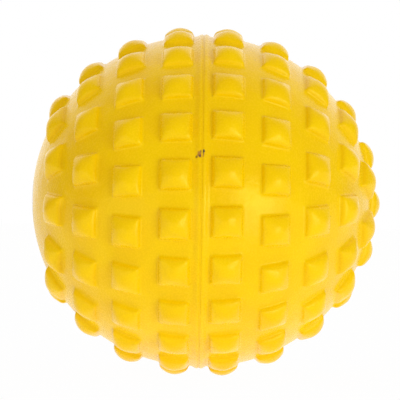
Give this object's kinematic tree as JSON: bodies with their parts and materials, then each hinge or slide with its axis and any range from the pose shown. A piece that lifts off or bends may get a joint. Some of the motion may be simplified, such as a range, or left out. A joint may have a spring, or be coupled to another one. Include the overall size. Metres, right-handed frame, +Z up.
{
  "type": "sensory ball",
  "caption": "Hollow rubber ball in two bonded halves with a raised seam band, rows of square nubs and a reed squeaker in its bare pole, for gripping, rolling and squeezing.",
  "frame": {"origin": "centre of the ball, on the plane of the seam between the two halves", "axes": "X along the ball's axis through both poles: -X is the bare pole with the squeaker, +X the pole with the nub; +Z up"},
  "size_m": [0.0734, 0.0732, 0.0736],
  "materials": {
    "shell_rubber": "satin",
    "bond_cement": "matte",
    "housing_plastic": "satin",
    "insert_plastic": "satin",
    "reed_film": "gloss"
  },
  "bodies": {
    "ball": {"left_half_shell": "shell_rubber", "right_half_shell": "shell_rubber", "seam_bond": "bond_cement", "squeaker_housing": "housing_plastic", "reed_bed": "insert_plastic", "reed_clamp": "insert_plastic"},
    "reed": {"reed": "reed_film"}
  },
  "joints": [
    {"name": "reed_flex", "type": "hinge", "parent": "ball", "child": "reed", "pos_m": [-0.03264, 0, 0], "axis": [0, 0, 1], "range_deg": [-3, 3], "stiffness_Nm_per_rad": 0.01}
  ]
}
